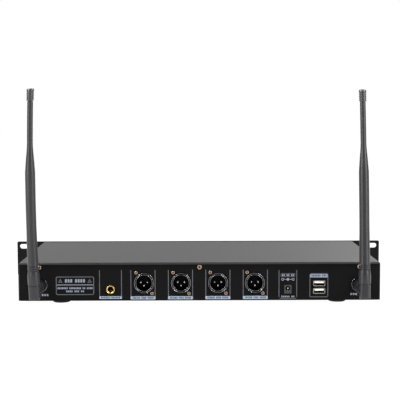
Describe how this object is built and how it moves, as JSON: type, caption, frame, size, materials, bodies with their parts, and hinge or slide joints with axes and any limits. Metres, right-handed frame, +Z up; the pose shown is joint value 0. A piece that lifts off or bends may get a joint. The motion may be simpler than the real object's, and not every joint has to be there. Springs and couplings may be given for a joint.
{
  "type": "wireless receiver unit",
  "caption": "Rack-mount wireless microphone receiver: flat black metal case with an eared front panel, rear audio sockets and folding whip antennas.",
  "frame": {"origin": "middle of the unit's whole footprint, on the surface its feet stand on", "axes": "+Z up; the front panel faces -Y and the sockets and antennas face +Y; +X runs along the rack width"},
  "size_m": [0.4826, 0.2694, 0.2455],
  "materials": {
    "tray_paint": "fine satin black powder coat",
    "cover_paint": "fine satin black powder coat",
    "panel_paint": "satin black anodised or painted face",
    "window_smoke": "smoked clear acrylic, glossy",
    "circuit_board": "green solder mask over glass fibre",
    "tinplate": "bright tin or nickel plate",
    "socket_plastic": "black moulded nylon",
    "control_plastic": "black moulded plastic",
    "foot_rubber": "moulded rubber",
    "screw_nickel": "warm nickel plate",
    "jack_nickel": "nickel plate, dulled",
    "antenna_plastic": "dark grey moulded plastic",
    "antenna_rubber": "dark grey soft rubber",
    "gold_plate": "gold-coloured plate"
  },
  "bodies": {
    "chassis": {"base_tray": "tray_paint", "rear_wall": "tray_paint", "top_cover": "cover_paint", "front_panel": "panel_paint", "display_window": "window_smoke", "front_board": "circuit_board", "main_board": "circuit_board", "receiver_shield": "tinplate", "power_switch": "socket_plastic", "foot_1": "foot_rubber", "foot_2": "foot_rubber", "foot_3": "foot_rubber", "foot_4": "foot_rubber", "cover_screw_1": "screw_nickel", "cover_screw_2": "screw_nickel", "cover_screw_3": "screw_nickel", "xlr_screw_1": "screw_nickel", "xlr_screw_2": "screw_nickel", "xlr_screw_3": "screw_nickel", "xlr_screw_4": "screw_nickel", "xlr_screw_5": "screw_nickel", "xlr_screw_6": "screw_nickel", "xlr_screw_7": "screw_nickel", "xlr_screw_8": "screw_nickel", "xlr_shell_1": "socket_plastic", "xlr_shell_2": "socket_plastic", "xlr_shell_3": "socket_plastic", "xlr_shell_4": "socket_plastic", "xlr_insert_1": "socket_plastic", "xlr_insert_2": "socket_plastic", "xlr_insert_3": "socket_plastic", "xlr_insert_4": "socket_plastic", "volume_pot_1": "tinplate", "volume_pot_2": "tinplate", "volume_pot_3": "tinplate", "volume_pot_4": "tinplate", "phone_jack": "socket_plastic", "phone_jack_nut": "gold_plate", "dc_jack": "socket_plastic", "usb_shell": "tinplate", "usb_insert": "socket_plastic", "antenna_jack_a": "jack_nickel", "antenna_jack_b": "jack_nickel"},
    "power_button": {"power_button": "control_plastic"},
    "volume_knob_1": {"volume_knob_1": "control_plastic"},
    "volume_knob_2": {"volume_knob_2": "control_plastic"},
    "volume_knob_3": {"volume_knob_3": "control_plastic"},
    "volume_knob_4": {"volume_knob_4": "control_plastic"},
    "select_button_1": {"select_button_1": "control_plastic"},
    "select_button_2": {"select_button_2": "control_plastic"},
    "select_button_3": {"select_button_3": "control_plastic"},
    "select_button_4": {"select_button_4": "control_plastic"},
    "antenna_collar_a": {"antenna_collar_a": "antenna_plastic"},
    "antenna_base_a": {"antenna_base_a": "antenna_plastic"},
    "antenna_whip_a": {"antenna_whip_a": "antenna_rubber", "antenna_pin_a": "screw_nickel"},
    "antenna_collar_b": {"antenna_collar_b": "antenna_plastic"},
    "antenna_base_b": {"antenna_base_b": "antenna_plastic"},
    "antenna_whip_b": {"antenna_whip_b": "antenna_rubber", "antenna_pin_b": "screw_nickel"}
  },
  "joints": [
    {"name": "power_press", "type": "slide", "parent": "chassis", "child": "power_button", "axis": [0, 1, 0], "range_m": [0, 0.0025], "stiffness_N_per_m": 600},
    {"name": "volume_turn_1", "type": "hinge", "parent": "chassis", "child": "volume_knob_1", "pos_m": [-0.09, -0.1204, 0.0165], "axis": [0, 1, 0], "range_deg": [-150, 150]},
    {"name": "volume_turn_2", "type": "hinge", "parent": "chassis", "child": "volume_knob_2", "pos_m": [-0.014, -0.1204, 0.0165], "axis": [0, 1, 0], "range_deg": [-150, 150]},
    {"name": "volume_turn_3", "type": "hinge", "parent": "chassis", "child": "volume_knob_3", "pos_m": [0.062, -0.1204, 0.0165], "axis": [0, 1, 0], "range_deg": [-150, 150]},
    {"name": "volume_turn_4", "type": "hinge", "parent": "chassis", "child": "volume_knob_4", "pos_m": [0.138, -0.1204, 0.0165], "axis": [0, 1, 0], "range_deg": [-150, 150]},
    {"name": "select_press_1", "type": "slide", "parent": "chassis", "child": "select_button_1", "axis": [0, 1, 0], "range_m": [0, 0.0006], "stiffness_N_per_m": 500},
    {"name": "select_press_2", "type": "slide", "parent": "chassis", "child": "select_button_2", "axis": [0, 1, 0], "range_m": [0, 0.0006], "stiffness_N_per_m": 500},
    {"name": "select_press_3", "type": "slide", "parent": "chassis", "child": "select_button_3", "axis": [0, 1, 0], "range_m": [0, 0.0006], "stiffness_N_per_m": 500},
    {"name": "select_press_4", "type": "slide", "parent": "chassis", "child": "select_button_4", "axis": [0, 1, 0], "range_m": [0, 0.0006], "stiffness_N_per_m": 500},
    {"name": "antenna_a_lock", "type": "hinge", "parent": "chassis", "child": "antenna_collar_a", "pos_m": [0.1819, 0.0966, 0.023], "axis": [0, 1, 0], "range_deg": [0, 90]},
    {"name": "antenna_a_swivel", "type": "hinge", "parent": "chassis", "child": "antenna_base_a", "pos_m": [0.1819, 0.1276, 0.023], "axis": [0, 1, 0], "range_deg": [-42, 87]},
    {"name": "antenna_a_tilt", "type": "hinge", "parent": "antenna_base_a", "child": "antenna_whip_a", "pos_m": [0.1819, 0.1276, 0.023], "axis": [-0.9993, 0, 0.0384], "range_deg": [-6, 90]},
    {"name": "antenna_b_lock", "type": "hinge", "parent": "chassis", "child": "antenna_collar_b", "pos_m": [-0.1819, 0.0966, 0.023], "axis": [0, 1, 0], "range_deg": [0, 90]},
    {"name": "antenna_b_swivel", "type": "hinge", "parent": "chassis", "child": "antenna_base_b", "pos_m": [-0.1819, 0.1276, 0.023], "axis": [0, 1, 0], "range_deg": [-89, 40]},
    {"name": "antenna_b_tilt", "type": "hinge", "parent": "antenna_base_b", "child": "antenna_whip_b", "pos_m": [-0.1819, 0.1276, 0.023], "axis": [-1, 0, -0.0035], "range_deg": [0, 96]}
  ]
}
